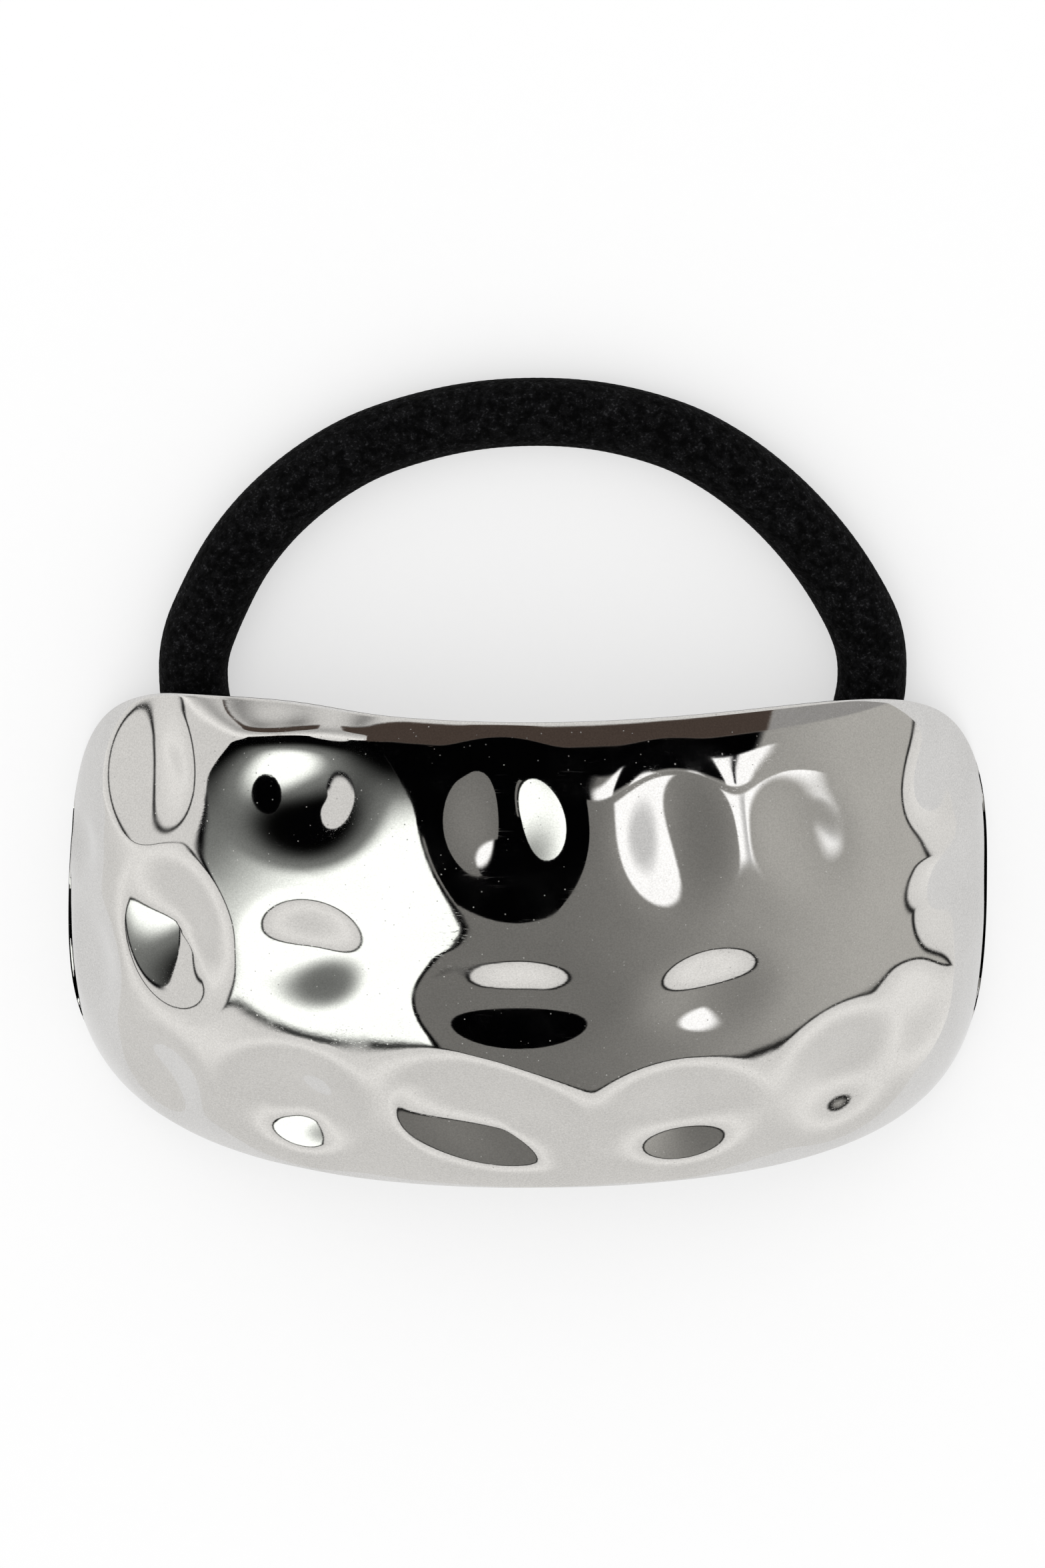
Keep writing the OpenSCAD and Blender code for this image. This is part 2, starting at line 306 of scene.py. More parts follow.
class Wire:
    """A node's output that stands in sums: an expression on wires adds its Math nodes."""

    def __init__(self, tree, socket):
        self.tree, self.socket = tree, socket

    def sum(self, operation, *values):
        return add_node(self.tree, "ShaderNodeMath", {"operation": operation}, dict(enumerate(values)))

    def __add__(self, other):
        return self.sum("ADD", self, other)

    def __radd__(self, other):
        return self.sum("ADD", other, self)

    def __sub__(self, other):
        return self.sum("SUBTRACT", self, other)

    def __rsub__(self, other):
        return self.sum("SUBTRACT", other, self)

    def __mul__(self, other):
        return self.sum("MULTIPLY", self, other)

    def __rmul__(self, other):
        return self.sum("MULTIPLY", other, self)

    def __truediv__(self, other):
        return self.sum("DIVIDE", self, other)

    def __rtruediv__(self, other):
        return self.sum("DIVIDE", other, self)

    def __pow__(self, other):
        return self.sum("POWER", self, other)

    def __neg__(self):
        return self.sum("MULTIPLY", self, -1)

    def of(self, operation):
        """This value alone through a Math node."""
        return self.sum(operation, self)


def add_node(tree, kind, settings, inputs, output=0):
    """Adds a node with its settings, then the values or links of its sockets, and returns an output."""
    node = tree.nodes.new(kind)
    for name, value in settings.items():
        setattr(node, name, value)
    for name, value in inputs.items():
        if isinstance(value, Wire):
            tree.links.new(value.socket, node.inputs[name])
        else:
            node.inputs[name].default_value = value
    return Wire(tree, node.outputs[output])


def axes(place):
    """The x, y and z of a place, each as a wire."""
    split = add_node(place.tree, "ShaderNodeSeparateXYZ", {}, {"Vector": place})
    return [Wire(place.tree, socket) for socket in split.socket.node.outputs]


def greater(a, b):
    """The greater of two values, of which at least one is a wire."""
    wire = a if isinstance(a, Wire) else b
    return wire.sum("MAXIMUM", a, b)


def lesser(a, b):
    """The lesser of two values, of which at least one is a wire."""
    wire = a if isinstance(a, Wire) else b
    return wire.sum("MINIMUM", a, b)


def rise(low, high, value):
    """A soft step from 0 where value is low to 1 where it is high."""
    return add_node(value.tree, "ShaderNodeMapRange", {"interpolation_type": "SMOOTHSTEP"},
                    {"Value": value, "From Min": low, "From Max": high})


def between(low, high, soft, value):
    """1 where value lies from low to high, with edges that are soft wide."""
    return rise(low - soft, low + soft, value) * (1 - rise(high - soft, high + soft, value))


def bump_of(value):
    """e to the power of minus the square of value."""
    return (value * value * -1).of("EXPONENT")


def blend(a, b, share):
    """Colour a where share is 0 and b where it is 1."""
    return add_node(share.tree, "ShaderNodeMix", {"data_type": "RGBA"}, {0: share, 6: a, 7: b}, output=2)


def tinted(tint, value):
    """A colour times a number."""
    return add_node(value.tree, "ShaderNodeVectorMath", {"operation": "SCALE"}, {0: tint, "Scale": value})


def new_material(name):
    """A new material with an empty node tree, and its output node."""
    material = bpy.data.materials.new(name)
    material.use_nodes = True
    tree = material.node_tree
    tree.nodes.clear()
    return material, tree, tree.nodes.new("ShaderNodeOutputMaterial")


def noise(tree, place, scale, detail=2.0, roughness=0.5):
    """Soft noise from 0 to 1 over a place, with about scale lumps to the metre."""
    return add_node(tree, "ShaderNodeTexNoise", {}, {
        "Vector": place, "Scale": scale, "Detail": detail, "Roughness": roughness})


def object_place(tree):
    """The place on the object, in metres."""
    return add_node(tree, "ShaderNodeTexCoord", {}, {}, output="Object")


def stretched(tree, place, scale, turn=(0, 0, 0)):
    """The place turned and scaled, so that a pattern on it is drawn out."""
    return add_node(tree, "ShaderNodeMapping", {}, {"Vector": place, "Rotation": turn, "Scale": scale})


def polished_metal(settings):
    """Mirror polish over the hammer marks: faint waves, clouds, fine scratches, pits and dust."""
    material, tree, output = new_material("polished_metal")
    place = object_place(tree)
    cloud = noise(tree, place, 260, 4.0, 0.6)
    grain = noise(tree, place, 9000, roughness=0.7)
    shade = 0.62 + 0.12 * cloud + 0.60 * grain
    scratches = lesser(hairlines(tree, place, 0.5) + hairlines(tree, place, -0.7), 1)
    cells = add_node(tree, "ShaderNodeTexVoronoi", {}, {"Vector": place, "Scale": 1500})
    dust = 1 - rise(0.05, 0.10, cells)
    roughness = 0.03 + 0.05 * rise(0.45, 0.75, cloud) + 0.10 * scratches + 0.40 * dust
    height = 0.6 * noise(tree, place, 600, 1.0) + 0.10 * noise(tree, place, 4000, 1.0) - 0.1 * scratches
    bump = add_node(tree, "ShaderNodeBump", {}, {
        "Height": height, "Strength": 1.0, "Distance": 0.0028 * MM})
    shader = add_node(tree, "ShaderNodeBsdfPrincipled", {}, {
        "Base Color": tinted(tuple(settings.metal), shade), "Metallic": 1.0,
        "Roughness": roughness, "Normal": bump})
    tree.links.new(shader.socket, output.inputs["Surface"])
    return material


def hairlines(tree, place, turn):
    """Sparse fine scratches that run one way, 1 on a scratch and 0 elsewhere."""
    streaks = noise(tree, stretched(tree, place, (350, 12000, 12000), (0, 0, turn)), 1, 1.0)
    patches = noise(tree, place, 350)
    return rise(0.66, 0.74, streaks) * rise(0.50, 0.62, patches)


def black_elastic(settings):
    """Matte knitted cover: tight stitches, painted glints where short fibre would catch the light, and a
    little lint.
    """
    material, tree, output = new_material("black_elastic")
    place = object_place(tree)
    along = add_node(tree, "ShaderNodeUVMap", {"uv_map": "knit"}, {})
    around, length, _ = axes(along)
    column = (around * (settings.wales * math.pi)).of("SINE").of("ABSOLUTE")
    loops = ((length / settings.stitch + column * 0.5) * (2 * math.pi)).of("SINE")
    fibre = noise(tree, place, 7500, 3.0, 0.7)
    mottle = noise(tree, place, 1700, 3.0, 0.65)
    painted_glints = rise(0.52, 0.72, noise(tree, place, 6000)) * rise(0.42, 0.62, mottle)
    lint = rise(0.76, 0.82, noise(tree, place, 2600, 1.0))
    height = 0.25 * column + 0.30 * loops + 0.9 * fibre
    bump = add_node(tree, "ShaderNodeBump", {}, {
        "Height": height, "Strength": 1.0, "Distance": 0.07 * MM})
    # The yarn's colour is lifted by random mottle, by real lint, and by painted glints.
    mottle_lint_and_glints = 0.25 + 1.9 * rise(0.35, 0.68, mottle) * fibre + 4.8 * painted_glints + 3.0 * lint
    shader = add_node(tree, "ShaderNodeBsdfPrincipled", {}, {
        "Base Color": tinted(tuple(settings.colour), mottle_lint_and_glints), "Roughness": 0.95,
        "Specular IOR Level": 0.04, "Sheen Weight": 0.01, "Sheen Roughness": 0.5,
        "Normal": bump})
    tree.links.new(shader.socket, output.inputs["Surface"])
    return material


def crimp_metal(settings):
    """Plain steel sleeve with turning lines round it."""
    material, tree, output = new_material("crimp_metal")
    place = object_place(tree)
    lines = noise(tree, stretched(tree, place, (9000, 300, 300)), 1)
    cloud = noise(tree, place, 500)
    shade = 0.85 + 0.15 * lines + 0.1 * cloud
    bump = add_node(tree, "ShaderNodeBump", {}, {
        "Height": lines, "Strength": 0.5, "Distance": 0.01 * MM})
    shader = add_node(tree, "ShaderNodeBsdfPrincipled", {}, {
        "Base Color": tinted(tuple(settings.colour), shade), "Metallic": 1.0,
        "Roughness": 0.26 + 0.12 * cloud, "Normal": bump})
    tree.links.new(shader.socket, output.inputs["Surface"])
    return material


def pale_floor(settings):
    """Plain pale board with the faintest tooth, and a painted glow of its own that lightens the shadows on
    it.
    """
    material, tree, output = new_material("pale_floor")
    tooth = noise(tree, object_place(tree), 900)
    shader = add_node(tree, "ShaderNodeBsdfPrincipled", {}, {
        "Base Color": tinted(tuple(settings.floor), 0.99 + 0.02 * tooth),
        "Roughness": 0.9, "Specular IOR Level": 0.1,
        "Emission Color": (1, 1, 1, 1), "Emission Strength": settings.painted_floor_glow})
    tree.links.new(shader.socket, output.inputs["Surface"])
    return material


def start_piece():
    """Goes to object mode with nothing selected."""
    if bpy.context.object and bpy.context.object.mode != "OBJECT":
        bpy.ops.object.mode_set(mode="OBJECT")
    bpy.ops.object.select_all(action="DESELECT")


def edit_all():
    """Goes to edit mode with everything selected."""
    bpy.ops.object.mode_set(mode="EDIT")
    bpy.ops.mesh.select_all(action="SELECT")


def settle(piece):
    """Leaves edit mode and puts the piece's place and turn into its mesh."""
    if piece.mode != "OBJECT":
        bpy.ops.object.mode_set(mode="OBJECT")
    bpy.ops.object.transform_apply(location=True, rotation=True, scale=True)


def modify(piece, kind, **settings):
    """Adds a modifier to the active piece and applies it."""
    bpy.ops.object.modifier_add(type=kind)
    modifier = piece.modifiers[-1]
    for name, value in settings.items():
        setattr(modifier, name, value)
    bpy.ops.object.modifier_apply(modifier=modifier.name)


def get_points(mesh):
    """The mesh's vertices as rows of x, y and z."""
    flat = np.empty(3 * len(mesh.vertices))
    mesh.vertices.foreach_get("co", flat)
    return flat.reshape(-1, 3)


def set_points(mesh, points):
    """Moves the mesh's vertices to the rows of points."""
    mesh.vertices.foreach_set("co", points.ravel())
    mesh.update()


def dress(piece, material, slot, *nodes):
    """Gives a finished piece its material, hangs it on the root and hides the solids that it stands for.
    """
    piece.data.materials.clear()
    piece.data.materials.append(material)
    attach(piece, "root")
    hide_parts(*nodes)


def mark_depth(along, across):
    """Depth of all the hammer marks at points of the unrolled sheet."""
    depth = np.zeros_like(along)
    for middle_s, middle_t, half_length, half_width, turn, deep, fade in MARKS:
        ds, dt = along - middle_s * MM, across - middle_t * MM
        c, s = math.cos(math.radians(turn)), math.sin(math.radians(turn))
        out = ((ds * c + dt * s) / (half_length * MM)) ** 2
        out += ((dt * c - ds * s) / (half_width * MM)) ** 2
        depth += deep * MM * np.clip(1 - out, 0, 1) ** fade
    return depth


class Sheet:
    """The polished face of the plate, as a function of a square."""

    def __init__(self, settings):
        self.settings = settings
        side = np.linspace(-1, 1, 41)
        ends = np.concatenate([[-np.ones_like(side), side], [np.ones_like(side), side],
                               [side, -np.ones_like(side)], [side, np.ones_like(side)]], axis=1)
        rim = self.raw(*ends)
        self.middle = np.array([(rim[:, 0].min() + rim[:, 0].max()) / 2,
                                (rim[:, 1].min() + rim[:, 1].max()) / 2, 0])
        feet = self.raw(np.array([-1, -1, 1, 1.0]), LEVEL_SHARE * np.array([-1, 1, -1, 1.0]))
        self.middle[2] = feet[:, 2].max()

    def reach(self, u, v):
        """How far out a point is, 1 at the outline, with each corner's own squareness."""
        p = self.settings
        power = np.where(v > 0, np.where(u < 0, p.top_left, p.top_right),
                         np.where(u < 0, p.bottom_left, p.bottom_right))
        return (np.abs(u) ** power + np.abs(v) ** power) ** (1 / power)

    def raw(self, u, v):
        """Points of the bowed sheet round the axis of its bow."""
        p = self.settings
        far = np.maximum(self.reach(u, v), 1e-6)
        pull = np.maximum(np.abs(u), np.abs(v)) / far
        u, v = u * pull, v * pull
        flare = np.where(u < 0, p.flare_left, p.flare_right) * (u * np.maximum(0, v)) ** 2
        slant = np.where(u < 0, p.lean, 0) * v * u * u
        along = u * p.bow_radius * p.bow_half_angle + slant
        across = v * p.half_height + flare
        fall = p.crown_rise * v * v + p.rim_roll * self.reach(u, v) ** p.rim_power
        radius = p.bow_radius - fall - mark_depth(along, across)
        angle = along / p.bow_radius
        return np.stack([radius * np.sin(angle), across, radius * np.cos(angle)], axis=-1)

    def points(self, u, v):
        """Points of the sheet where it stands."""
        return self.raw(u, v) - self.middle

    def back_height(self, x, y):
        """Height of the sheet's back over a point of the plan."""
        p = self.settings
        across = y + self.middle[1]
        angle = math.asin((x + self.middle[0]) / (p.bow_radius - p.crown_rise))
        deep = mark_depth(np.array([angle * p.bow_radius]), np.array([across]))[0]
        radius = p.bow_radius - p.sheet - p.crown_rise * (across / p.half_height) ** 2 - deep
        return radius * math.cos(angle) - self.middle[2]


def make_bail(settings, sheet, x, elastic_thickness):
    """Bends a staple of wire round the elastic's way: leg, bend, bar, bend, leg, each leg soldered."""
    wire = settings.bail_wire / 2
    leg = elastic_thickness / 2 + settings.bail_gap + wire
    y, z = LOOP_Y * MM, LOOP_Z * MM
    bend = BAIL_BEND
    tops = [sheet.back_height(x, y + side * leg) + settings.sheet / 2 for side in (-1, 1)]
    start_piece()
    bpy.ops.mesh.primitive_circle_add(
        vertices=WIRE_SIDES, radius=wire, location=(x, y - leg, tops[0]), fill_type="NGON")
    piece = bpy.context.object
    edit_all()
    low = z - leg
    bpy.ops.mesh.extrude_region_move(
        TRANSFORM_OT_translate={"value": (0, 0, low + bend - tops[0])})
    bpy.ops.mesh.spin(steps=BEND_STEPS, angle=math.pi / 2,
                      center=(x, y - leg + bend, low + bend), axis=(1, 0, 0))
    bpy.ops.mesh.extrude_region_move(TRANSFORM_OT_translate={"value": (0, 2 * (leg - bend), 0)})
    bpy.ops.mesh.spin(steps=BEND_STEPS, angle=math.pi / 2,
                      center=(x, y + leg - bend, low + bend), axis=(1, 0, 0))
    bpy.ops.mesh.extrude_region_move(
        TRANSFORM_OT_translate={"value": (0, 0, tops[1] - low - bend)})
    bpy.ops.mesh.select_all(action="SELECT")
    bpy.ops.mesh.remove_doubles(threshold=WELD)
    bpy.ops.mesh.normals_make_consistent(inside=False)
    settle(piece)
    pieces = [piece]
    for side, top in zip((-1, 1), tops):
        start_piece()
        bpy.ops.mesh.primitive_cone_add(
            vertices=SOLDER_SIDES, radius1=wire * SOLDER_TIP, radius2=wire * SOLDER_BASE,
            depth=SOLDER_LENGTH, location=(x, y + side * leg, top - SOLDER_DROP))
        solder = bpy.context.object
        edit_all()
        bpy.ops.mesh.bevel(offset=SOLDER_ROUND, segments=4, affect="EDGES")
        settle(solder)
        pieces.append(solder)
    return pieces


class HAIRTIE_OT_plate(bpy.types.Operator):
    """Bow and hammer the sheet, round its edges and solder the two bails behind it"""

    bl_idname = "hairtie.plate"
    bl_label = "Plate"

    def execute(self, context):
        settings = context.scene.hairtie_plate
        sheet = Sheet(settings)
        start_piece()
        bpy.ops.mesh.primitive_grid_add(
            x_subdivisions=settings.cells_along, y_subdivisions=settings.cells_across, size=2)
        plate = context.object
        plate.name = plate.data.name = "hammered_plate"
        square = get_points(plate.data)
        set_points(plate.data, sheet.points(square[:, 0], square[:, 1]))
        modify(plate, "SOLIDIFY", thickness=settings.sheet, offset=-1, use_even_offset=True)
        modify(plate, "BEVEL", width=settings.edge_round, segments=4, limit_method="ANGLE",
               angle_limit=BEVEL_ANGLE)
        ground = get_points(plate.data)
        ground[:, 2] = np.maximum(ground[:, 2], 0)
        set_points(plate.data, ground)
        bails = []
        for x in (-settings.bail_x, settings.bail_x):
            bails += make_bail(settings, sheet, x, context.scene.hairtie_elastic.thickness)
        start_piece()
        for piece in bails + [plate]:
            piece.select_set(True)
        context.view_layer.objects.active = plate
        bpy.ops.object.join()
        bpy.ops.object.shade_smooth_by_angle(angle=SHARP_ANGLE)
        dress(plate, polished_metal(settings), "polished_metal", "plate")
        return {"FINISHED"}


def smooth_route():
    """The elastic's centreline: a smooth curve through its points."""
    route = np.array(ROUTE) * MM
    padded = np.vstack([route[:1], route, route[-1:]])
    k = np.linspace(0, 1, STEPS_PER_POINT, endpoint=False)[:, None]
    parts = []
    for a, b, c, d in zip(padded, padded[1:], padded[2:], padded[3:]):
        parts.append(0.5 * (2 * b + (c - a) * k + (2 * a - 5 * b + 4 * c - d) * k ** 2
                            + (3 * b - a - 3 * c + d) * k ** 3))
    return np.vstack(parts + [route[-1:]])


def evenly(line, gap):
    """The same line with points about a gap apart, and its length."""
    steps = np.linalg.norm(np.diff(line, axis=0), axis=1)
    run = np.concatenate([[0], np.cumsum(steps)])
    places = np.linspace(0, run[-1], int(run[-1] / gap) + 1)
    return np.stack([np.interp(places, run, line[:, axis]) for axis in range(3)], axis=-1), run[-1]


class HAIRTIE_OT_elastic(bpy.types.Operator):
    """Knit the covered elastic along its loop"""

    bl_idname = "hairtie.elastic"
    bl_label = "Elastic"

    def execute(self, context):
        settings = context.scene.hairtie_elastic
        line, length = evenly(smooth_route(), settings.ring_gap)
        sides = FACES_PER_WALE * settings.wales
        share = np.arange(sides) / sides
        place = np.arange(len(line)) * length / (len(line) - 1)
        points = self.knit(settings, context.scene.hairtie_plate.half_height, line, share, place)
        mesh = self.tube(points)
        self.unroll(mesh, sides, place)
        start_piece()
        elastic = bpy.data.objects.new("covered_elastic", mesh)
        context.collection.objects.link(elastic)
        context.view_layer.objects.active = elastic
        elastic.select_set(True)
        edit_all()
        bpy.ops.mesh.normals_make_consistent(inside=False)
        settle(elastic)
        bpy.ops.object.shade_smooth_by_angle(angle=KNIT_SHARP_ANGLE)
        dress(elastic, black_elastic(settings), "black_elastic", "elastic")
        return {"FINISHED"}

    @staticmethod
    def knit(settings, half_height, line, share, place):
        """Points of the knitted tube: a ring round each point of the line, at shares of its turn."""
        ahead = np.gradient(line, axis=0)
        ahead /= np.linalg.norm(ahead, axis=1, keepdims=True)
        out = np.cross(ahead, [0, 0, 1])
        out /= np.linalg.norm(out, axis=1, keepdims=True)
        up = np.cross(out, ahead)
        past_plate = line[:, 1] - half_height
        high = np.clip(past_plate / past_plate.max(), 0, 1)
        radius = (settings.thickness + (settings.arch_thickness - settings.thickness) * high) / 2
        out *= 1 + settings.spread * np.clip(past_plate[:, None] / SPREAD_RUN, 0, 1)
        column = np.abs(np.sin(share * settings.wales * math.pi))
        loops = np.cos(2 * math.pi * (place[:, None] / settings.stitch + 0.5 * column))
        deep = settings.relief * (COLUMN_SHARE * (1 - column) + STITCH_SHARE * (1 - loops))
        radii = (radius[:, None] - deep)[..., None]
        turn = 2 * math.pi * share[:, None]
        return line[:, None] + radii * (np.cos(turn) * out[:, None] + np.sin(turn) * up[:, None])

    @staticmethod
    def tube(points):
        """A closed mesh through rings of points, whose quads start at each ring's first point."""
        count, sides = points.shape[:2]
        ring = np.arange(sides)
        first = ring + sides * np.arange(count - 1)[:, None]
        after = (ring + 1) % sides + sides * np.arange(count - 1)[:, None]
        quads = np.stack([first, first + sides, after + sides, after], axis=-1).reshape(-1, 4)
        caps = [ring.tolist(), (ring[::-1] + sides * (count - 1)).tolist()]
        mesh = bpy.data.meshes.new("covered_elastic")
        mesh.from_pydata(points.reshape(-1, 3).tolist(), [], quads.tolist() + caps)
        return mesh

    @staticmethod
    def unroll(mesh, sides, place):
        """Lays the UV map that the knit follows: the share of the turn, and the place along the line."""
        corners = np.empty(len(mesh.loops), dtype=int)
        mesh.loops.foreach_get("vertex_index", corners)
        around = (corners % sides) / sides
        seam = np.zeros(len(corners), dtype=bool)
        last_column = np.tile(np.arange(sides) == sides - 1, len(place) - 1)
        seam[:4 * len(last_column)] = np.repeat(last_column, 4)
        around = np.where(seam & (around == 0), 1.0, around)
        uv = mesh.uv_layers.new(name="knit")
        uv.data.foreach_set("uv", np.stack([around, place[corners // sides]], axis=-1).ravel())


class HAIRTIE_OT_ferrule(bpy.types.Operator):
    """Turn the sleeve, crimp it near its mouths and sink its two sockets"""

    bl_idname = "hairtie.ferrule"
    bl_label = "Ferrule"

    def execute(self, context):
        settings = context.scene.hairtie_ferrule
        thickness = context.scene.hairtie_elastic.thickness
        outer = settings.diameter / 2
        middle = Vector((0, LOOP_Y * MM, LOOP_Z * MM))
        start_piece()
        bpy.ops.mesh.primitive_cylinder_add(
            vertices=FERRULE_SIDES, radius=outer, depth=settings.length, location=middle,
            rotation=(0, math.pi / 2, 0), end_fill_type="NGON")
        ferrule = context.object
        ferrule.name = ferrule.data.name = "crimped_ferrule"
        settle(ferrule)
        mouth = settings.length / 2
        rings = [(mouth - step * MM, share) for step, share in CRIMP_RINGS]
        for side in (1, -1):
            for x, share in rings:
                edit_all()
                bpy.ops.mesh.bisect(plane_co=middle + Vector((side * x, 0, 0)), plane_no=(1, 0, 0))
        for x, share in rings[1:-1]:
            for side in (-1, 1):
                self.pick(ferrule, "VERT", lambda vertex: abs(vertex.co.x - side * x) < 0.01 * MM)
                squeeze = 1 - settings.crimp_depth * share / outer
                bpy.ops.transform.resize(value=(1, squeeze, squeeze), center_override=middle)
        rim = outer - thickness / 2 - settings.socket_gap
        for side in (-1, 1):
            self.pick(ferrule, "FACE", lambda face: face.normal.x * side > 0.99)
            bpy.ops.mesh.inset(thickness=rim)
            bpy.ops.mesh.extrude_region_move(
                TRANSFORM_OT_translate={"value": (-side * settings.socket, 0, 0)})
        settle(ferrule)
        modify(ferrule, "BEVEL", width=FERRULE_ROUND, segments=3, limit_method="ANGLE",
               angle_limit=BEVEL_ANGLE)
        bpy.ops.object.shade_smooth_by_angle(angle=SHARP_ANGLE)
        dress(ferrule, crimp_metal(settings), "crimp_metal", "ferrule")
        return {"FINISHED"}

    @staticmethod
    def pick(piece, kind, test):
        """Selects the vertices or faces that pass the test, in edit mode."""
        bpy.ops.object.mode_set(mode="EDIT")
        bpy.ops.mesh.select_mode(type=kind)
        bpy.ops.mesh.select_all(action="DESELECT")
        bpy.ops.object.mode_set(mode="OBJECT")
        for element in piece.data.vertices if kind == "VERT" else piece.data.polygons:
            element.select = test(element)
        bpy.ops.object.mode_set(mode="EDIT")


def ray_angles(tree):
    """Degrees from straight up that a ray goes towards +X and towards +Y, and its share along Y.

    The zones below are laid out in these two angles, ax and ay, so their numbers are degrees.
    """
    x, y, z = axes(add_node(tree, "ShaderNodeTexCoord", {}, {}, output="Generated"))
    degrees = z.of("ARCCOSINE") * math.degrees(1)
    flat = (x * x + y * y) ** 0.5 + 1e-6
    return degrees * x / flat, degrees * y / flat, y


def soft_box(colour, ax, ay):
    """The large soft box on the left, brightest below and darker towards its curved top."""
    up = greater(ay + 13, 0)
    border = -13 - 5 * (1 - (up * -0.2).of("EXPONENT")) - 0.17 * up - 5 * rise(0, 5, -13 - ay)
    box = 1 - rise(border - 0.3, border + 0.3, ax)
    corner = ay - 0.75 * (ax + 60) + 14
    top = 41 - 0.010 * greater(-ax - 28, 0) ** 2
    light = 0.46 + 0.60 * (1 - rise(-12, 12, corner)) - 0.10 * rise(8, 30, corner)
    light = light * (1 - 0.90 * bump_of(greater(top - ay, 0) / 15))
    lit = blend(tinted(BOX_TINT, light), DARK_CARD, rise(-0.5, 0.5, ay - top))
    return blend(colour, lit, box), border, box


def dark_cards(colour, ax, ay, border, box):
    """Dark cards beside and above the box, and the dark strip along its side."""
    low = -10 + 12 * (1 - rise(-17, -13, ax)) + 28 * rise(4, 9, ax)
    under_shelf = 1 - rise(SHELF_LOW - 1, SHELF_LOW + 1, ay)
    card = (1 - box) * (1 - rise(8, 11, ax - 0.10 * greater(ay, 0))) * rise(low - 0.5, low + 0.5, ay)
    drop = 12 * rise(0, 12, ax)
    high_card = rise(-44, -38, ax) * (1 - rise(46, 49, ax)) * rise(44 - drop, 48 - drop, ay)
    strip = bump_of((ax - border - 0.9) / 0.7) * rise(-41, -40, ay)
    return blend(colour, BLACK_CARD, greater(greater(card, high_card) * under_shelf, strip))


def windows(colour, ax, ay):
    """Two window panes on the right, the upper with a bar across it and a dark card before it."""
    low_pane = rise(32, 35, ax + 0.55 * ay) * (1 - rise(51, 56, ax - 0.35 * ay)) \
        * rise(-8, -4, ay) * (1 - rise(12, 14, ay))
    slant = (ay - 22) * 0.69 - (ax - 11)
    gap = between(23, 33, 1, ax)
    high_pane = rise(11, 14, ax) * (1 - rise(50, 53, ax)) * rise(17, 19, ay) \
        * (1 - rise(37, 40, ay - 0.3 * greater(ax - 30, 0))) * (1 - rise(-2, 2, slant)) \
        * (1 - gap * rise(16, 19, ay))
    haze = 0.25 * rise(40, 48, ax) * (1 - rise(48.5, 51.5, ax)) * (1 - rise(10, 16, ay))
    pane = tinted((1, 1, 1), 1 - haze)
    colour = blend(colour, pane, greater(low_pane, high_pane))
    bar = bump_of((ax - 42) / 0.9) * rise(19, 21, ay) * (1 - rise(44, 46, ay))
    card = gap * rise(19, 22, ay) * (1 - rise(50, 52, ay))
    return blend(colour, DARK_CARD, greater(0.9 * bar, card))


def high_walls(colour, ax, ay):
    """A brown shelf high up, and the paler walls round it and beyond the box."""
    right = rise(SHELF_RIGHT - 1, SHELF_RIGHT + 1, ax)
    shelf = between(SHELF_LOW, SHELF_HIGH, 1, ay) * rise(-54, -52, ax) * (1 - right)
    colour = blend(colour, BROWN_SHELF, shelf)
    colour = blend(colour, GREY_SHELF, rise(SHELF_LOW - 1, SHELF_LOW + 1, ay) * right)
    shade = 0.16 * bump_of((ay - 70) / 5) + 0.26 * bump_of((ax + 42) / 6) * bump_of((ay - 81) / 6)
    wall = tinted(WALL_TINT, 0.80 + 0.10 * bump_of((ay - 58) / 5) - shade)
    colour = blend(colour, wall, rise(SHELF_HIGH - 1, SHELF_HIGH + 1, ay))
    reach = 71 - 9 * rise(10, 40, ay) - 14 * rise(36, 58, ay)
    reach = reach - 12 * rise(56, 61, ay) + 14 * rise(67, 72, ay)
    colour = blend(colour, wall, rise(reach - 0.5, reach + 0.5, -ax))
    line = bump_of((ax + reach) / 1.2) * (1 - rise(0, 8, ay))
    return blend(colour, WALL_GAP, line)


def sweep_below(colour, ax, ay, y):
    """The pale sweep below and all round, with a thin dark line along its edge."""
    right = rise(-14, -2, ax)
    right_edge = -0.60 + 0.0030 * greater(ax, 0)
    left_edge = -0.435 + 0.00009 * greater(-ax - 35, 0) ** 2
    edge = right * right_edge + (1 - right) * left_edge
    left_line = 66 + 9 * rise(-27, -15, ay) + 21 * rise(-15, -1, ay) - 6 * rise(30, 55, ay)
    inside = lesser(lesser(y - edge, (left_line + ax) / 130), (105 - ax) / 120)
    light = 0.80 + 0.065 * bump_of((inside + 0.13) / 0.08) - 0.02 * rise(0.20, 0.32, -inside)
    pale = tinted(WALL_TINT, light)
    colour = blend(colour, pale, 1 - rise(-0.003, 0.003, inside))
    line = bump_of((inside - 0.006) / 0.009) * (1 - rise(52, 60, ay))
    return blend(colour, SWEEP_EDGE, 0.9 * line)


def reflection_zones(tree):
    """What the metal mirrors from each direction, as the brightness that it then shows."""
    ax, ay, y = ray_angles(tree)
    colour = tinted(ROOM_TINT, 0.42 + 0.24 * rise(0, 80, ax))
    colour, border, box = soft_box(colour, ax, ay)
    colour = dark_cards(colour, ax, ay, border, box)
    colour = windows(colour, ax, ay)
    colour = high_walls(colour, ax, ay)
    return sweep_below(colour, ax, ay, y)


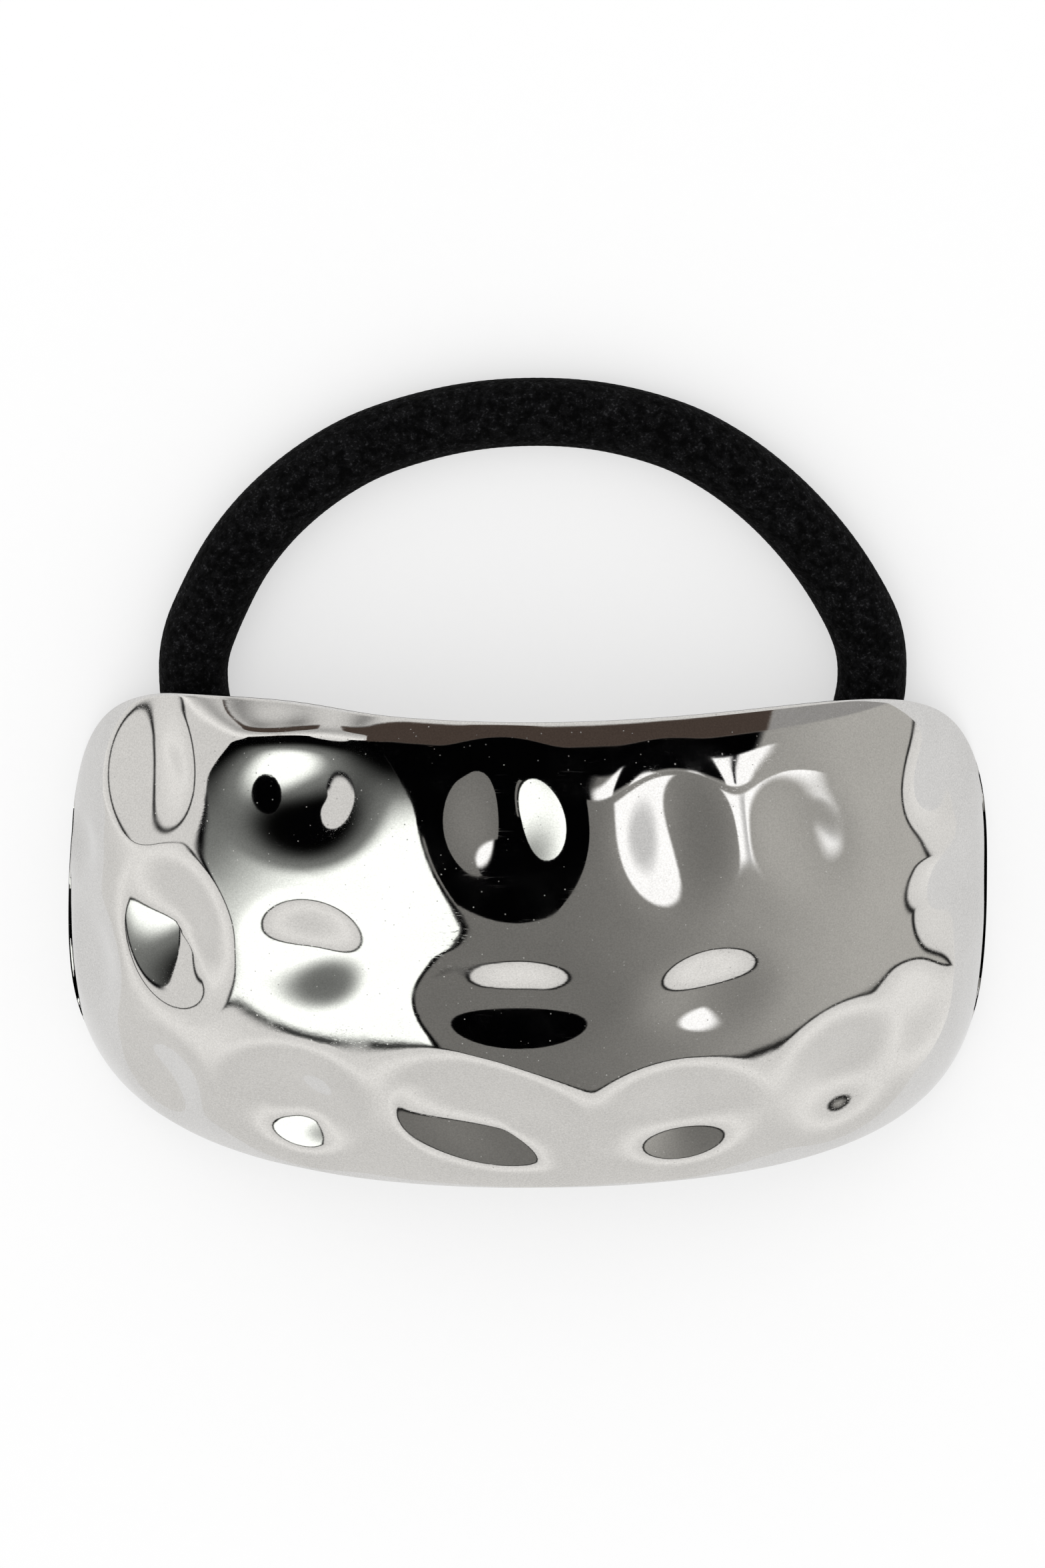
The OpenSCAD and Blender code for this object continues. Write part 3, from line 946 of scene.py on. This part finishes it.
class HAIRTIE_OT_stage(bpy.types.Operator):
    """Set up the camera, the pale floor, the lamp and the studio that the metal mirrors"""

    bl_idname = "hairtie.stage"
    bl_label = "Stage"

    def execute(self, context):
        settings = context.scene.hairtie_studio
        self.place_camera(context, settings)
        self.lay_floor(context, settings)
        self.hang_lamp(settings)
        self.build_world(context, settings)
        context.scene.view_settings.view_transform = "Standard"
        return {"FINISHED"}

    @staticmethod
    def place_camera(context, settings):
        """Puts the camera over the piece, tilted towards the arch, with the arch up in the picture."""
        start_piece()
        back = Vector((0, math.sin(settings.tilt), math.cos(settings.tilt)))
        bpy.ops.object.camera_add(
            location=Vector(settings.target) + settings.distance * back, rotation=(-settings.tilt, 0, 0))
        camera = context.object
        camera.data.lens = settings.lens
        camera.data.clip_start = CAMERA_CLIP
        context.scene.camera = camera

    @staticmethod
    def lay_floor(context, settings):
        """Lays the pale card that the piece rests on, small so that the metal mirrors past its edges."""
        start_piece()
        bpy.ops.mesh.primitive_plane_add(size=1, location=settings.floor_middle)
        floor = context.object
        floor.name = "floor"
        bpy.ops.transform.resize(value=(settings.floor_width, settings.floor_length, 1))
        settle(floor)
        floor.data.materials.append(pale_floor(settings))

    @staticmethod
    def hang_lamp(settings):
        """Hangs a broad soft lamp over the piece, which the metal doesn't mirror."""
        start_piece()
        bpy.ops.object.light_add(type="AREA", location=settings.lamp_place)
        lamp = bpy.context.object
        lamp.rotation_euler = (-Vector(settings.lamp_place)).to_track_quat("-Z", "Y").to_euler()
        lamp.data.energy = settings.lamp_power
        lamp.data.size = settings.lamp_size
        lamp.visible_glossy = False
        lamp.visible_camera = False

    @staticmethod
    def build_world(context, settings):
        """Mirrors show the studio's zones, the camera a plain backdrop, and the rest gets plain light."""
        world = bpy.data.worlds.new("studio")
        world.use_nodes = True
        tree = world.node_tree
        tree.nodes.clear()
        shown = add_node(tree, "ShaderNodeGamma", {}, {
            "Color": reflection_zones(tree), "Gamma": DISPLAY_GAMMA})
        light = add_node(tree, "ShaderNodeVectorMath", {"operation": "SCALE"}, {
            0: shown, "Scale": 1 / context.scene.hairtie_plate.metal[0]})
        glossy_ray = add_node(tree, "ShaderNodeLightPath", {}, {}, output="Is Glossy Ray")
        camera_ray = Wire(tree, glossy_ray.socket.node.outputs["Is Camera Ray"])
        plain = settings.plain_light
        colour = blend((plain, plain, plain, 1), light, glossy_ray)
        colour = blend(colour, BACKDROP, camera_ray)
        background = add_node(tree, "ShaderNodeBackground", {}, {"Color": colour, "Strength": 1.0})
        output = tree.nodes.new("ShaderNodeOutputWorld")
        tree.links.new(background.socket, output.inputs["Surface"])
        context.scene.world = world


class HAIRTIE_PT_panel(bpy.types.Panel):
    """The hair tie's pieces and their sizes, in the sidebar"""

    bl_idname = "HAIRTIE_PT_panel"
    bl_label = "Hair tie"
    bl_space_type = "VIEW_3D"
    bl_region_type = "UI"
    bl_category = "Hair tie"

    def draw(self, context):
        for operator, group, name in PIECES:
            box = self.layout.box()
            box.operator(operator.bl_idname)
            for size in group.__annotations__:
                box.prop(getattr(context.scene, name), size)


# The operators in the order in which they run, each with its settings and their name in the scene
PIECES = (
    (HAIRTIE_OT_stage, StudioSettings, "hairtie_studio"),
    (HAIRTIE_OT_ferrule, FerruleSettings, "hairtie_ferrule"),
    (HAIRTIE_OT_elastic, ElasticSettings, "hairtie_elastic"),
    (HAIRTIE_OT_plate, PlateSettings, "hairtie_plate"),
)


def register():
    """Registers the settings, the operators and the panel."""
    for operator, group, name in PIECES:
        bpy.utils.register_class(group)
        setattr(bpy.types.Scene, name, bpy.props.PointerProperty(type=group))
        bpy.utils.register_class(operator)
    bpy.utils.register_class(HAIRTIE_PT_panel)


def unregister():
    """Takes back what register has registered."""
    bpy.utils.unregister_class(HAIRTIE_PT_panel)
    for operator, group, name in reversed(PIECES):
        bpy.utils.unregister_class(operator)
        delattr(bpy.types.Scene, name)
        bpy.utils.unregister_class(group)


def main():
    """Makes the stage and the pieces."""
    register()
    bpy.ops.hairtie.stage()
    bpy.ops.hairtie.ferrule()
    bpy.ops.hairtie.elastic()
    bpy.ops.hairtie.plate()


if __name__ == "__main__":
    main()
